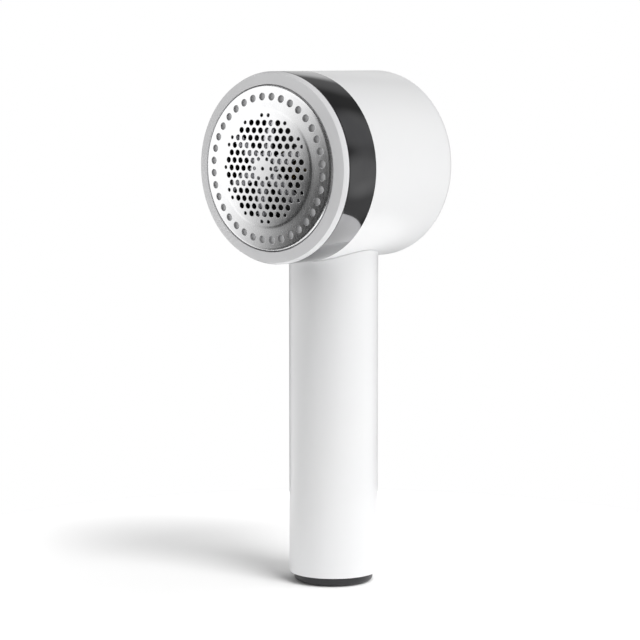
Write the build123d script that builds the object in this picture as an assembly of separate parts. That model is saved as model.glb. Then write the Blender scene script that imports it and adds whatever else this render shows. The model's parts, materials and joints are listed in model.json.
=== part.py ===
"""Cordless fabric shaver in the shape of a small hair dryer, in millimetres.

The foot's lower face is z = 0 and the handle's axis is the Z axis. The head's axis runs along Y at
height HEAD_Z, and the cutting face looks towards -Y. Each function below makes one named sub-part.
"""

import os
from math import cos, hypot, radians, sin, sqrt

from build123d import *

# Overall
HEAD_Z = 141.3  # height of the head's axis above the foot
HEAD_R = 31.5  # outer radius of barrel and trim band
HANDLE_R = 15.0  # outer radius of the handle
WALL = 2.0  # moulded wall of the barrel
CLEAR = 0.3  # gap between parts that move past each other
RUNNING_FIT = 0.03  # radial play of the motor shaft in its bushings

# Stations along the head, front to back
FOIL_APEX = -36.1
FOIL_RIM = -33.9
BEZEL_INNER_Y = -33.2
BEZEL_OUTER_Y = -32.1
BAND_FRONT = -29.75
BAND_REAR = -16.4
BULKHEAD_FRONT = -22.0
BULKHEAD_REAR = -20.0
BARREL_REAR = 26.1
BARREL_EDGE = 3.7  # rounding of the barrel's rear edge

# Foil and its holes
DOME_R = 125.0  # sphere that the foil's middle belongs to
FOIL_T = 0.4
FOIL_R = 27.1
DOME_EDGE = 18.8  # radius where the dome steps down to the flat rim
STEP_EDGE = 19.8
PITCH = 2.85  # spacing of the hexagonal hole pattern
BIG_HOLE = 0.97
SMALL_HOLE = 0.62
RIM_HOLE = 1.22
RIM_HOLES = 36
RIM_HOLE_R = 23.35

# Locking ring and cutter housing
BEZEL_INNER_R = 27.45
BEZEL_FACE_R = 30.87
SKIRT_R = 28.5
HOUSING_BORE = 28.8
BAND_INNER_R = 30.3
FLANGE_FRONT = -26.0
FLANGE_BACK = -24.6

# Blades
BLADES = 6
BLADE_R = 19.2
BLADE_T = 0.5
COUPLING_R = 3.0
COUPLING_FLAT = 2.2  # half the distance across the coupling's two flats

# Motor
SHAFT_R = 1.0
CAN_R = 12.2
CAN_INNER_R = 11.6
CAN_REAR = 6.0
MAGNET_INNER_R = 9.7
CORE_R = 9.3
MOTOR_REAR = 8.0
MOTOR_SCREW_X = 8.0
MOTOR_SCREW_R = 1.0
COVER_INNER_R = 12.9
COVER_R = 14.3
DUCT_Y = 9.8  # the cable duct stands just behind the motor
DUCT_R = 3.2
DUCT_BORE = 2.3

# Lint bin
BIN_R = 25.3
BIN_WALL = 1.2
BIN_TUBE_R = 14.8
BIN_FRONT = BULKHEAD_REAR + CLEAR
BIN_BACK = 23.6
LID_R = 25.4
BIN_HOLE_R = 25.7
DISH_R = 13.2
DISH_FLOOR = 18.6
SCREW_CIRCLE = 27.9

# Handle
TUBE_FOOT = 3.2  # height where the white tube starts
TUBE_BORE = 13.2
SPIGOT_R = 14.2
FRAME_R = 13.0
FRAME_FOOT = 12.0
FRAME_TOP = 113.0
CELL_R = 9.2
CELL_Y = -3.3
CELL_FOOT = 18.5
CELL_LENGTH = 65.0
SPINE_FRONT = 6.2
SPINE_BACK = 7.6
BOARD_FRONT = 8.2
BOARD_BACK = 9.4
BOARD_FOOT = 63.0
BOARD_TOP = 109.0
BOARD_SCREW_X = 6.0
BOARD_SCREW_Z = (68.0, 104.0)
BOARD_SCREW_R = 0.8

# Button, on the back of the handle
BUTTON_Z = 98.0
BUTTON_R = 5.5
TRIM_R = 7.2
TRIM_BORE = 5.85
LENS_Z = 84.0
LENS_R = 1.3

# Base
BASE_R = 13.35
BASE_FOOT = 0.4
PAD_TOP = 1.0
PAD_INNER_R = 6.6
PAD_R = 11.2
BASE_SCREW_X = 8.9


def turned(*corners):
    """Solid turned about the head's axis, from an outline of (radius, y) corners."""
    return Pos(0, 0, HEAD_Z) * revolve(make_face(Polyline(*corners, close=True)), Axis.Y)


def ring(inner, outer, y0, y1):
    return turned((inner, y0), (outer, y0), (outer, y1), (inner, y1))


def rod(radius, y0, y1, x=0.0, up=0.0):
    """Round bar parallel to the head's axis, `x` and `up` away from it."""
    return Pos(x, (y0 + y1) / 2, HEAD_Z + up) * Rot(90, 0, 0) * Cylinder(radius, y1 - y0)


def block(x0, x1, y0, y1, z0, z1):
    return Pos((x0 + x1) / 2, (y0 + y1) / 2, (z0 + z1) / 2) * Box(x1 - x0, y1 - y0, z1 - z0)


def post(radius, z0, z1, x=0.0, y=0.0):
    return Pos(x, y, (z0 + z1) / 2) * Cylinder(radius, z1 - z0)


def across(radius, y0, y1, x, z):
    """Round bar along Y at a height above the foot."""
    return Pos(x, (y0 + y1) / 2, z) * Rot(90, 0, 0) * Cylinder(radius, y1 - y0)


def about_head(part, degrees):
    """Turns a part about the head's axis."""
    return Pos(0, 0, HEAD_Z) * Rot(0, degrees, 0) * Pos(0, 0, -HEAD_Z) * part


def dome_y(apex, radius):
    """Station, at a radius, of the dome with that apex: all domes share the foil's centre."""
    centre = FOIL_APEX + DOME_R
    return centre - sqrt((centre - apex) ** 2 - radius**2)


def dome_arc(apex, radius):
    middle = radius / 2
    return ThreePointArc((0, apex), (middle, dome_y(apex, middle)), (radius, dome_y(apex, radius)))


def rounded(part, z_or_y, axis, radius):
    """Rounds the circular edges that lie at one station of an axis."""
    edges = part.edges().filter_by(GeomType.CIRCLE)
    return fillet(edges.filter_by_position(axis, z_or_y - 0.01, z_or_y + 0.01), radius)


# ---------------------------------------------------------------- cutting head, removable guard


def pattern_holes():
    """Centres and radii of the hexagonal pattern: big holes, ringed and centred by small ones."""
    holes = []
    for row in range(-7, 8):
        offset = 0.5 if row % 2 else 0.0
        for column in range(-7, 8):
            x, z = column + offset, row * sqrt(3) / 2
            distance = hypot(x, z)
            if distance > 6.15:
                continue
            if 0.5 < distance < 1.5:
                x, z = 1.25 * x, 1.25 * z
            radius = BIG_HOLE if 1.5 < distance < 5.7 else SMALL_HOLE
            holes.append((x * PITCH, z * PITCH, radius))
    return holes


def dome_drill(x, up, radius):
    """Short bar square to the dome at a place on it."""
    centre = Vector(0, FOIL_APEX + DOME_R, HEAD_Z)
    place = Vector(x, dome_y(FOIL_APEX, hypot(x, up)), HEAD_Z + up)
    return Plane(origin=place, z_dir=place - centre) * Cylinder(radius, 4 * FOIL_T)


def foil_guard():
    """Steel foil: perforated dome, flat rim with a ring of holes, rounded shoulder and skirt."""
    shoulder = 1.3
    skirt_end = FLANGE_FRONT - 0.4
    rim_back, skirt_inner = FOIL_RIM + FOIL_T, FOIL_R - FOIL_T
    front, back = dome_arc(FOIL_APEX, DOME_EDGE), dome_arc(FOIL_APEX + FOIL_T, DOME_EDGE)
    outside = [front @ 1, (STEP_EDGE, FOIL_RIM), (FOIL_R, FOIL_RIM), (FOIL_R, skirt_end)]
    inside = [(skirt_inner, skirt_end), (skirt_inner, rim_back), (STEP_EDGE, rim_back), back @ 1]
    sides = [*Polyline(*outside, *inside).edges(), Line(back @ 0, front @ 0)]
    outline = make_face([front, back, *sides])
    corner = outline.vertices().sort_by_distance((FOIL_R, FOIL_RIM))[0]
    outline = fillet(corner, shoulder)
    corner = outline.vertices().sort_by_distance((skirt_inner, rim_back))[0]
    outline = fillet(corner, shoulder - FOIL_T)
    foil = Pos(0, 0, HEAD_Z) * revolve(outline, Axis.Y)
    drills = [dome_drill(*hole) for hole in pattern_holes()]
    for index in range(RIM_HOLES):
        angle = radians((index + 0.5) * 360 / RIM_HOLES)
        x, up = RIM_HOLE_R * sin(angle), RIM_HOLE_R * cos(angle)
        drills.append(rod(RIM_HOLE, FOIL_RIM - 1, FOIL_RIM + 1, x, up))
    return foil - drills


def foil_carrier():
    """Moulded ring that the foil is crimped over: its pale face shows through the rim holes."""
    wall = FOIL_R - FOIL_T
    face = FOIL_RIM + FOIL_T + 0.25
    return turned(
        (20.9, face),
        (wall - 1.2, face),
        (wall, face + 1.2),
        (wall, FLANGE_FRONT),
        (SKIRT_R, FLANGE_FRONT),
        (SKIRT_R, FLANGE_BACK),
        (wall - 1.4, FLANGE_BACK),
        (wall - 1.4, face + 1.8),
        (20.9, face + 1.5),
    )


def bezel_ring():
    """Locking ring: coned face, steep outer bevel and a threaded skirt inside the housing."""
    ring_back = BAND_FRONT - CLEAR
    part = turned(
        (BEZEL_INNER_R, BEZEL_INNER_Y),
        (BEZEL_FACE_R, BEZEL_OUTER_Y),
        (HEAD_R, ring_back - 0.5),
        (HEAD_R, ring_back),
        (SKIRT_R, ring_back),
        (SKIRT_R, FLANGE_FRONT - CLEAR),
        (BEZEL_INNER_R, FLANGE_FRONT - CLEAR),
    )
    part = rounded(part, BEZEL_OUTER_Y, Axis.Y, 0.25)
    return rounded(part, BEZEL_INNER_Y, Axis.Y, 0.2)


# ---------------------------------------------------------------- cutting head, fixed front


def trim_band():
    return chamfer(ring(BAND_INNER_R, HEAD_R, BAND_FRONT, BAND_REAR).edges().group_by(Axis.Y)[0], 0.2)


def screw_places():
    """Places of the three housing screws around the head's axis, as (x, up)."""
    return [(SCREW_CIRCLE * sin(radians(a)), SCREW_CIRCLE * cos(radians(a))) for a in (0, 120, 240)]


def cutter_housing():
    """Cup behind the foil: its floor is the bulkhead, with windows that let the lint through."""
    step = FLANGE_BACK + CLEAR
    spigot_r, spigot_end = HEAD_R - WALL, BAND_REAR + 1.6
    part = turned(
        (0, BULKHEAD_FRONT),
        (28.0, BULKHEAD_FRONT),
        (28.0, step),
        (HOUSING_BORE, step),
        (HOUSING_BORE, BAND_FRONT),
        (BAND_INNER_R, BAND_FRONT),
        (BAND_INNER_R, BAND_REAR),
        (spigot_r, BAND_REAR),
        (spigot_r, spigot_end),
        (28.2, spigot_end),
        (28.2, BULKHEAD_REAR),
        (0, BULKHEAD_REAR),
    )
    window = ring(17.0, 24.0, BULKHEAD_FRONT - 1, BULKHEAD_REAR + 1)
    rib_half = 1.25
    for angle in range(0, 180, 60):
        window -= about_head(block(-rib_half, rib_half, -30, -10, HEAD_Z - 30, HEAD_Z + 30), angle)
    part -= window
    part -= rod(3.4, BULKHEAD_FRONT - 1, BULKHEAD_REAR + 1)
    part -= rod(5.1, BULKHEAD_REAR - 1, BULKHEAD_REAR + 1)
    for x in (-MOTOR_SCREW_X, MOTOR_SCREW_X):
        part -= rod(MOTOR_SCREW_R, BULKHEAD_FRONT - 1, BULKHEAD_REAR + 1, x)
    for x, up in screw_places():
        part -= rod(1.6, FLANGE_BACK, BULKHEAD_FRONT, x, up)
        part -= rod(0.9, BULKHEAD_FRONT - 1, BULKHEAD_REAR + 1, x, up)
        part -= rod(2.0, BULKHEAD_REAR, spigot_end + 1, x, up)
    return part


def shaft_seal():
    return ring(SHAFT_R + CLEAR, 3.4, BULKHEAD_FRONT, BULKHEAD_REAR - 1)


def bulkhead_screw(head_r, shank_r, length, x, up):
    """Slotted screw whose head sits on the bulkhead's front face."""
    height, slot_depth, slot_half = 1.2, 0.5, 0.2
    face = BULKHEAD_FRONT - height
    z = HEAD_Z + up
    slot_reach = 0.75 * head_r
    slot = block(x - slot_reach, x + slot_reach, face - 1, face + slot_depth, z - slot_half, z + slot_half)
    return rod(head_r, face, BULKHEAD_FRONT, x, up) + rod(shank_r, BULKHEAD_FRONT, face + length, x, up) - slot


def housing_screws():
    return [bulkhead_screw(1.5, 0.9, 11.2, x, up) for x, up in screw_places()]


# ---------------------------------------------------------------- cutting head, blades


def blade_disc():
    """Stamped steel wheel of raked leaves, domed to run just behind the foil."""
    apex = FOIL_APEX + FOIL_T + 0.35
    back = apex + BLADE_T
    front_arc, back_arc = dome_arc(apex, BLADE_R), dome_arc(back, BLADE_R)
    sides = [Line(front_arc @ 1, back_arc @ 1), Line(front_arc @ 0, back_arc @ 0)]
    sheet = Pos(0, 0, HEAD_Z) * revolve(make_face([front_arc, back_arc, *sides]), Axis.Y)
    leaf = Polyline((-2.4, 0), (2.6, 0), (4.3, BLADE_R + 1), (1.2, BLADE_R + 1), close=True)
    leaf = extrude(Plane.XZ * make_face(leaf), 8, both=True)
    leaf = Pos(0, FOIL_APEX, HEAD_Z) * leaf
    star = rod(5.2, FOIL_APEX, FOIL_APEX + 3)
    for index in range(BLADES):
        star += about_head(leaf, index * 360 / BLADES)
    return (sheet & star) - rod(1.1, FOIL_APEX, FOIL_APEX + 3)


def drive_section(radius, half_width, y0, y1):
    """Round bar with two flats, the shape that turns the blade head and lets it slide."""
    flats = block(-half_width, half_width, y0, y1, HEAD_Z - radius, HEAD_Z + radius)
    return rod(radius, y0, y1) & flats


def blade_hub():
    """Moulded hub with a fan vane behind each leaf and a stud that holds the blade disc."""
    seat = FOIL_APEX + FOIL_T + 0.35 + BLADE_T
    vane_back, hub_back = -29.2, -28.6
    hub_r, vane_r, stud_r, rivet_r = 5.2, BLADE_R - 1.5, 1.1, 2.0
    front_arc = dome_arc(seat, vane_r)
    sides = Polyline(front_arc @ 1, (vane_r, hub_back), (0, hub_back), front_arc @ 0).edges()
    behind_disc = Pos(0, 0, HEAD_Z) * revolve(make_face([front_arc, *sides]), Axis.Y)
    outline = Polyline((-0.3, 3), (0.9, 3), (3.3, BLADE_R), (2.1, BLADE_R), close=True)
    vane = extrude(Plane.XZ * make_face(outline), FOIL_APEX - vane_back, dir=(0, 1, 0))
    vane = Pos(0, vane_back, HEAD_Z) * vane
    hub = rod(hub_r, FOIL_APEX, hub_back)
    for index in range(BLADES):
        hub += about_head(vane, index * 360 / BLADES)
    hub &= behind_disc
    hub += rod(stud_r, seat - BLADE_T, seat + 1) + rod(rivet_r, seat - BLADE_T - 0.2, seat - BLADE_T)
    return hub - drive_section(COUPLING_R + CLEAR, COUPLING_FLAT + CLEAR, -33.6, hub_back + 1)


def drive_coupling():
    boss = drive_section(COUPLING_R, COUPLING_FLAT, -32.2, -25.6)
    return boss + rod(5.2, -25.6, -24.8) - rod(SHAFT_R, -31.0, -24)


def blade_spring():
    """Light coil seated on the coupling's flange, pressed to the length it has with the blades pushed in."""
    wire, coil, front, turns = 0.25, 4.4, -27.0, 2
    height = -25.6 - wire - front
    path = Helix(pitch=height / turns, height=height, radius=coil)
    section = Plane(origin=path @ 0, z_dir=path % 0) * Circle(wire)
    return Pos(0, front, HEAD_Z) * Rot(-90, 0, 0) * sweep(section, path=path)


# ---------------------------------------------------------------- motor


def motor_shaft():
    return rod(SHAFT_R, -31.0, 9.4)


def motor_bushings():
    front = ring(SHAFT_R + RUNNING_FIT, 3.0, BULKHEAD_REAR - 1, BULKHEAD_REAR + 2.5)
    rear = ring(SHAFT_R + RUNNING_FIT, 2.6, 6.4, 8.8)
    return [front, rear]


def motor_can():
    face = BULKHEAD_REAR
    can = turned(
        (3.0, face - 1),
        (5.0, face - 1),
        (5.0, face),
        (CAN_R, face),
        (CAN_R, CAN_REAR),
        (CAN_INNER_R, CAN_REAR),
        (CAN_INNER_R, face + 1),
        (3.0, face + 1),
    )
    for x in (-MOTOR_SCREW_X, MOTOR_SCREW_X):
        can -= rod(MOTOR_SCREW_R, face - 1, face + 2, x)
    return can


def motor_magnets():
    tube = ring(MAGNET_INNER_R, CAN_INNER_R, -17.5, 2.0)
    gap = block(-4.5, 4.5, -20, 5, HEAD_Z - 15, HEAD_Z + 15)
    return (tube - gap).solids()


def armature_core():
    """Three-pole laminated core: a hub, three necks and three curved pole shoes."""
    y0, y1 = -13.5, -1.5
    core = rod(3.2, y0, y1)
    shoes = ring(7.8, CORE_R, y0, y1)
    for index in range(3):
        core += about_head(block(-1.9, 1.9, y0, y1, HEAD_Z, HEAD_Z + 8.4), index * 120)
        shoes -= about_head(block(-0.9, 0.9, y0 - 1, y1 + 1, HEAD_Z, HEAD_Z + 12), index * 120 + 60)
    return core + shoes - rod(SHAFT_R, y0, y1)


def armature_windings():
    """Copper wound round each neck, standing out past both faces of the core."""
    coil = block(-3.9, 3.9, -15.5, 0.5, HEAD_Z + 3.6, HEAD_Z + 7.6)
    coil = fillet(coil.edges().filter_by(Axis.Z), 1.6)
    core = armature_core()
    return [about_head(coil, index * 120) - core for index in range(3)]


def commutator():
    part = ring(SHAFT_R, 2.2, 1.2, 5.4)
    for index in range(3):
        part -= about_head(block(-0.15, 0.15, 1, 6, HEAD_Z + 1.6, HEAD_Z + 3), index * 120)
    return part


def terminal_strip(side):
    x0, x1 = sorted((side * 5.8, side * 6.3))
    return block(x0, x1, 2.8, 11.0, HEAD_Z - 1, HEAD_Z + 1)


def motor_brushes():
    """Each brush and its solder terminal are one bent strip."""
    strips = []
    for side in (-1, 1):
        x0, x1 = sorted((side * 2.3, side * 5.8))
        strips.append(terminal_strip(side) + block(x0, x1, 3.0, 4.0, HEAD_Z - 0.8, HEAD_Z + 0.8))
    return strips


def motor_end_cap():
    cap = turned((2.6, 6.4), (9.6, 6.4), (9.6, 4.6), (CAN_INNER_R, 4.6), (CAN_INNER_R, CAN_REAR),
                 (CAN_R, CAN_REAR), (CAN_R, MOTOR_REAR), (4.0, MOTOR_REAR), (4.0, 8.8), (2.6, 8.8))
    return cap - terminal_strip(-1) - terminal_strip(1)


def motor_screws():
    return [bulkhead_screw(1.8, MOTOR_SCREW_R, 4.2, x, 0) for x in (-MOTOR_SCREW_X, MOTOR_SCREW_X)]


def motor_cover():
    """Cup that keeps lint off the motor, with the duct that brings its leads up from the handle."""
    end_inner, end_outer = 13.6, 15.0
    duct_foot = HEAD_Z - 28.6
    cup = turned((0, end_inner), (COVER_INNER_R, end_inner), (COVER_INNER_R, BULKHEAD_REAR),
                 (COVER_R, BULKHEAD_REAR), (COVER_R, end_outer), (0, end_outer))
    duct = post(DUCT_R, duct_foot, HEAD_Z - 13.4, 0, DUCT_Y)
    bore = post(DUCT_BORE, duct_foot - 1, HEAD_Z - 11, 0, DUCT_Y)
    return cup + (duct - rod(COVER_INNER_R, -20, end_inner)) - bore


# ---------------------------------------------------------------- barrel and lint bin


def head_shell():
    """White barrel: open at the front, with a round opening for the lint bin in its rear face."""
    inner = HEAD_R - WALL
    rear_wall = 2.6
    shell = turned((inner, BAND_REAR), (HEAD_R, BAND_REAR), (HEAD_R, BARREL_REAR), (BIN_HOLE_R, BARREL_REAR),
                   (BIN_HOLE_R, BARREL_REAR - rear_wall), (inner, BARREL_REAR - rear_wall))
    outer_edge = shell.edges().filter_by(GeomType.CIRCLE).group_by(Axis.Y)[-1].sort_by(SortBy.RADIUS)[-1]
    shell = fillet(outer_edge, BARREL_EDGE)
    rib = block(-0.8, 0.8, -8, BARREL_REAR - rear_wall, HEAD_Z + BIN_HOLE_R, HEAD_Z + inner + 0.5)
    for angle in (45, 135, 225, 315):
        shell += about_head(rib, angle)
    for x, up in screw_places():
        boss = rod(1.9, BULKHEAD_REAR, -8, x, up)
        shell += boss & ring(0, inner + 0.2, -30, 0)
        shell -= rod(0.9, BULKHEAD_REAR - 1, -12, x, up)
    return shell - post(SPIGOT_R, HEAD_Z - 40, HEAD_Z - 15)


def lint_bin():
    """Horseshoe cup round the motor cover: open towards the blades, slotted below for the duct."""
    inner, outer = BIN_TUBE_R + BIN_WALL, BIN_R - BIN_WALL
    slot_half = DUCT_R + 0.6
    slot_end = DUCT_Y + DUCT_R + 0.6
    cup = ring(BIN_TUBE_R, BIN_R, BIN_FRONT, BIN_BACK)
    cavity = ring(inner, outer, BIN_FRONT - 1, BIN_BACK - BIN_WALL)
    cheek = slot_half + BIN_WALL
    cavity -= block(-cheek, cheek, BIN_FRONT - 1, slot_end + BIN_WALL, HEAD_Z - 30, HEAD_Z)
    slot = block(-slot_half, slot_half, BIN_FRONT - 1, slot_end, HEAD_Z - 30, HEAD_Z - 10)
    groove = ring(BIN_R - 0.75, BIN_R + 1, BIN_BACK - 1.9, BIN_BACK - 0.9)
    return cup - cavity - slot - groove


def bin_seal():
    section = Pos(BIN_R - 0.3, BIN_BACK - 1.4) * Circle(0.45)
    return Pos(0, 0, HEAD_Z) * revolve(section, Axis.Y)


def bin_lid():
    """White lid flush with the barrel's rear face, dished behind a grip bar for two fingers."""
    floor = 1.2
    bar_half, bar_front, bar_back = 3.0, DISH_FLOOR, BARREL_REAR - 0.5
    lid = turned((0, DISH_FLOOR - floor), (DISH_R + floor, DISH_FLOOR - floor), (DISH_R + floor, BIN_BACK),
                 (LID_R, BIN_BACK), (LID_R, BARREL_REAR), (DISH_R, BARREL_REAR), (DISH_R, DISH_FLOOR),
                 (0, DISH_FLOOR))
    lid = rounded(lid, BARREL_REAR, Axis.Y, 0.5)
    bar = block(-bar_half, bar_half, bar_front, bar_back, HEAD_Z - DISH_R - 0.6, HEAD_Z + DISH_R + 0.6)
    bar = fillet(bar.edges().filter_by(Axis.Z).group_by(Axis.Y)[-1], 1.2)
    return lid + (bar & rod(DISH_R + 0.5, bar_front - 1, BARREL_REAR))


# ---------------------------------------------------------------- handle


def handle_tube():
    """Straight white tube, saddled to the barrel above, with a spigot that enters it."""
    top = HEAD_Z - 16
    tube = post(HANDLE_R, TUBE_FOOT, top) - rod(HEAD_R, -40, 40)
    tube = fillet(tube.edges().filter_by(GeomType.CIRCLE).group_by(Axis.Z)[0], 0.35)
    spigot = post(SPIGOT_R, HEAD_Z - HEAD_R - 5, top) - rod(HEAD_R - WALL - 1.1, -40, 40)
    tube = tube + spigot - post(TUBE_BORE, 0, HEAD_Z)
    tube -= across(TRIM_R, 5, 20, 0, BUTTON_Z)
    return tube - across(LENS_R, 5, 20, 0, LENS_Z)


def handle_sleeve(inner, outer, z0, z1):
    return post(outer, z0, z1) - post(inner, z0, z1)


def button_trim():
    """Thin metal ring round the button, following the handle's curve."""
    collar = across(TRIM_R, 5, 20, 0, BUTTON_Z) - across(TRIM_BORE, 5, 20, 0, BUTTON_Z)
    return collar & handle_sleeve(TUBE_BORE, HANDLE_R + 0.3, BUTTON_Z - 10, BUTTON_Z + 10)


def power_button():
    """Push cap with a flange behind the tube's wall and a hollow over the switch."""
    flange_front, flange_back = 10.4, 11.1
    crown = HANDLE_R + 1.0
    cap = across(BUTTON_R, flange_front, 20, 0, BUTTON_Z)
    cap &= post(crown, BUTTON_Z - 10, BUTTON_Z + 10)
    cap = fillet(cap.edges().sort_by(Axis.Y)[-1], 0.5)
    cap += across(6.3, flange_front, flange_back, 0, BUTTON_Z)
    return cap - across(4.7, flange_front - 1, 13.6, 0, BUTTON_Z)


def indicator_lens():
    lens = across(LENS_R, 12.0, 20, 0, LENS_Z)
    return lens & post(HANDLE_R + 0.1, LENS_Z - 5, LENS_Z + 5)


def board_screw_places():
    """Places of the four board screws, as (x, z)."""
    return [(x, z) for x in (-BOARD_SCREW_X, BOARD_SCREW_X) for z in BOARD_SCREW_Z]


def handle_frame():
    """Moulded chassis inside the tube: battery bay in front of a spine, circuit board behind it."""
    front, back, bay_top = -14.0, 14.0, 110.0
    cell_half, board_half, lead_half = 9.4, 8.2, 3.4
    shelf, cross_web = 89.0, 58.0
    frame = post(FRAME_R, FRAME_FOOT, FRAME_TOP)
    # bays: battery, empty space above it, space for the charging leads, circuit board
    frame -= block(-cell_half, cell_half, front, SPINE_FRONT, CELL_FOOT - 1.5, CELL_FOOT + CELL_LENGTH + 2.5)
    frame -= block(-cell_half, cell_half, front, SPINE_FRONT, shelf, bay_top)
    frame -= block(-board_half, board_half, SPINE_BACK, back, CELL_FOOT - 1.5, cross_web)
    frame -= block(-board_half, board_half, SPINE_BACK, back, BOARD_FOOT - 1, bay_top)
    frame -= block(-5.0, 5.0, SPINE_BACK, back, cross_web - 8, BOARD_FOOT)
    # ways through for the battery leads, the charging board and its leads, and the motor leads
    frame -= block(-lead_half, lead_half, 0, back, shelf - 2.5, shelf + 2.5)
    frame -= block(-lead_half, lead_half, -2.6, 1, shelf - 4, shelf + 2.5)
    frame -= block(-5.4, 5.4, 0.9, 4.4, FRAME_FOOT - 1, CELL_FOOT - 2.1)
    frame -= block(-lead_half, lead_half, 2, 11.6, FRAME_FOOT - 1, CELL_FOOT)
    frame -= block(-4.5, 4.5, 5.5, 11.9, bay_top - 1, FRAME_TOP + 1)
    frame -= block(-4.5, 4.5, SPINE_BACK, back, bay_top - 1, FRAME_TOP + 1)
    for side in (-1, 1):
        frame -= post(0.9, FRAME_FOOT - 1, FRAME_FOOT + 4, side * BASE_SCREW_X)
    for x, z in board_screw_places():
        frame += across(1.8, SPINE_BACK, BOARD_FRONT, x, z)
        frame -= across(BOARD_SCREW_R, SPINE_FRONT, BOARD_BACK, x, z)
    return frame


def battery_cell():
    cell = post(CELL_R, CELL_FOOT, CELL_FOOT + CELL_LENGTH, 0, CELL_Y)
    return fillet(cell.edges().filter_by(GeomType.CIRCLE), 0.6)


def battery_tabs():
    """Nickel strips: a short one on the upper end, a long one from the lower end up the back."""
    top = CELL_FOOT + CELL_LENGTH
    strip = 0.25
    upper = block(-3, 3, CELL_Y - 3, CELL_Y + 3, top, top + strip)
    lower = block(-2.5, 2.5, CELL_Y - 3, SPINE_FRONT, CELL_FOOT - strip, CELL_FOOT)
    lower += block(-2.5, 2.5, SPINE_FRONT - strip, SPINE_FRONT, CELL_FOOT - strip, top + 1)
    return [upper, lower]


def control_board():
    board = block(-8, 8, BOARD_FRONT, BOARD_BACK, BOARD_FOOT, BOARD_TOP)
    for x, z in board_screw_places():
        board -= across(BOARD_SCREW_R + 0.1, BOARD_FRONT - 1, BOARD_BACK + 1, x, z)
    return board


def board_chips():
    """Charge controller, motor transistor and a coil on the back of the board."""
    controller = block(-2.5, 2.5, BOARD_BACK, BOARD_BACK + 1.1, 73.5, 78.5)
    transistor = block(-5.6, -2.6, BOARD_BACK, BOARD_BACK + 1.1, 88, 91)
    coil = block(2.4, 6.0, BOARD_BACK, BOARD_BACK + 1.6, 86.5, 90.1)
    return [controller, transistor, coil]


def board_screws():
    screws = []
    for x, z in board_screw_places():
        shank = across(BOARD_SCREW_R, SPINE_FRONT, BOARD_BACK, x, z)
        screws.append(shank + across(1.4, BOARD_BACK, BOARD_BACK + 0.8, x, z))
    return screws


def tact_switch():
    body = block(-3, 3, BOARD_BACK, 12.0, BUTTON_Z - 3, BUTTON_Z + 3)
    return body + across(1.7, 12.0, 12.65, 0, BUTTON_Z)


def status_led():
    return block(-0.8, 0.8, BOARD_BACK, BOARD_BACK + 0.8, LENS_Z - 0.8, LENS_Z + 0.8)


# ---------------------------------------------------------------- base and charging socket


def stadium(width, height, z0, z1):
    """Upright bar with a slot-shaped section."""
    return extrude(Pos(0, 0, z0) * SlotOverall(width, height), z1 - z0)


def base_cap():
    """Black plug in the handle's foot, with the socket's opening and a groove for the rubber foot."""
    cap = post(BASE_R, BASE_FOOT, TUBE_FOOT)
    cap = fillet(cap.edges().filter_by(GeomType.CIRCLE).group_by(Axis.Z)[0], 1.1)
    cap += post(TUBE_BORE - 0.1, TUBE_FOOT, FRAME_FOOT)
    cap -= handle_sleeve(PAD_INNER_R, PAD_R, 0, PAD_TOP)
    cap -= block(-5.4, 5.4, -3.0, 4.4, 3.0, FRAME_FOOT + 1)
    cap -= block(-3.4, 3.4, 4.0, 11.6, 7.0, FRAME_FOOT + 1)
    for side in (-1, 1):
        cap -= post(1.0, PAD_TOP, FRAME_FOOT + 1, side * BASE_SCREW_X)
        cap -= post(2.0, 0, PAD_TOP + 1.4, side * BASE_SCREW_X)
    return cap - stadium(9.2, 3.5, 0, 4)


def foot_pad():
    pad = handle_sleeve(PAD_INNER_R, PAD_R, 0, PAD_TOP)
    return fillet(pad.edges().group_by(Axis.Z)[0], 0.25)


def base_screws():
    screws = []
    for side in (-1, 1):
        head = post(1.9, PAD_TOP, PAD_TOP + 1.4, side * BASE_SCREW_X)
        screws.append(head + post(0.9, PAD_TOP + 1.4, FRAME_FOOT + 4, side * BASE_SCREW_X))
    return screws


def charge_socket():
    """Metal shell with a thin tongue inside, open downwards."""
    mouth, back = 0.9, 8.2
    shell = stadium(8.9, 3.2, mouth, back) - stadium(8.4, 2.7, 0, back - 0.4)
    return shell + block(-3.3, 3.3, -0.35, 0.35, mouth + 0.8, back)


def charge_board():
    return block(-5, 5, 1.6, 2.6, 3.2, 15.8)


# ---------------------------------------------------------------- leads inside the handle


def wire(radius, bend, *points):
    """Insulated lead: straight runs joined by tangent arcs of one radius."""
    path = FilletPolyline(*points, radius=bend)
    section = Plane(origin=path @ 0, z_dir=path % 0) * Circle(radius)
    return sweep(section, path=path)


def motor_leads():
    """From the board's upper end, up the duct and on to the two terminals."""
    leads = []
    for side in (-1, 1):
        x, spread = side * 1.3, side * 4.9
        tip = HEAD_Z - 2.2
        rise = HEAD_Z - 9.5
        leads.append(wire(0.6, 2.0, (x, 10.2, 105.5), (x, 10.2, rise), (spread, 10.2, tip)))
    return leads


def battery_leads():
    """From the cell's upper end over the spine to the front of the board."""
    start = CELL_FOOT + CELL_LENGTH + 0.25
    route = [(0, CELL_Y + 2.2, start), (0, CELL_Y + 2.2, 89.0), (0, BOARD_FRONT, 89.0)]
    return wire(0.6, 2.5, *route)


def charge_leads():
    """From the charging board up the back of the handle to the lower end of the main board."""
    return [
        wire(0.5, 2.5, (x, 2.6, 14.2), (x, 10.0, 14.2), (x, 10.0, 66.0)) for x in (-1.6, 1.6)
    ]


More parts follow.
